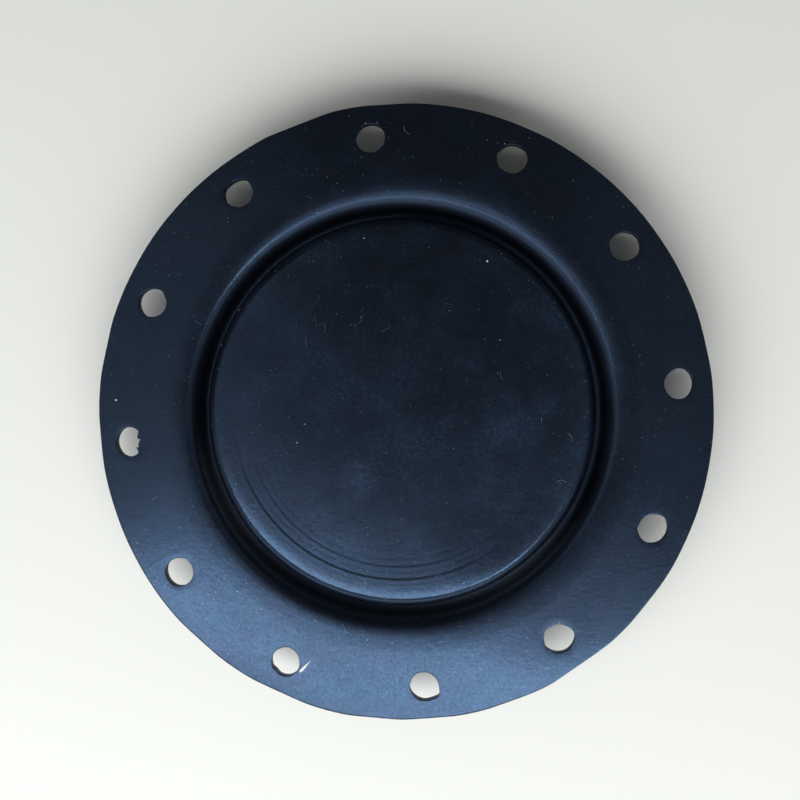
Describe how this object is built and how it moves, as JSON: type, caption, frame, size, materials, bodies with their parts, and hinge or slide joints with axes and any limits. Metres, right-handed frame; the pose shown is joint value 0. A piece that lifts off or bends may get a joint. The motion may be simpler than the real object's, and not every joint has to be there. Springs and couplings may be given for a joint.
{
  "type": "valve diaphragm",
  "caption": "Flat round rubber diaphragm for a flanged valve: a punched bolting flange, one deep rolling convolution and a plain centre disc, moulded in one piece.",
  "frame": {"origin": "centre of the bolt circle, on the upper face of the flange, the face the groove opens on", "axes": "+Z along the diaphragm's axis, out of the grooved face; +X in the flange's plane, 5.9 degrees short of a bolt hole"},
  "size_m": [0.1504, 0.1502, 0.011],
  "materials": {
    "rubber": "satin black moulded rubber with a faint blue-grey sheen, dusty"
  },
  "bodies": {
    "root": {"diaphragm": "rubber"}
  },
  "joints": []
}
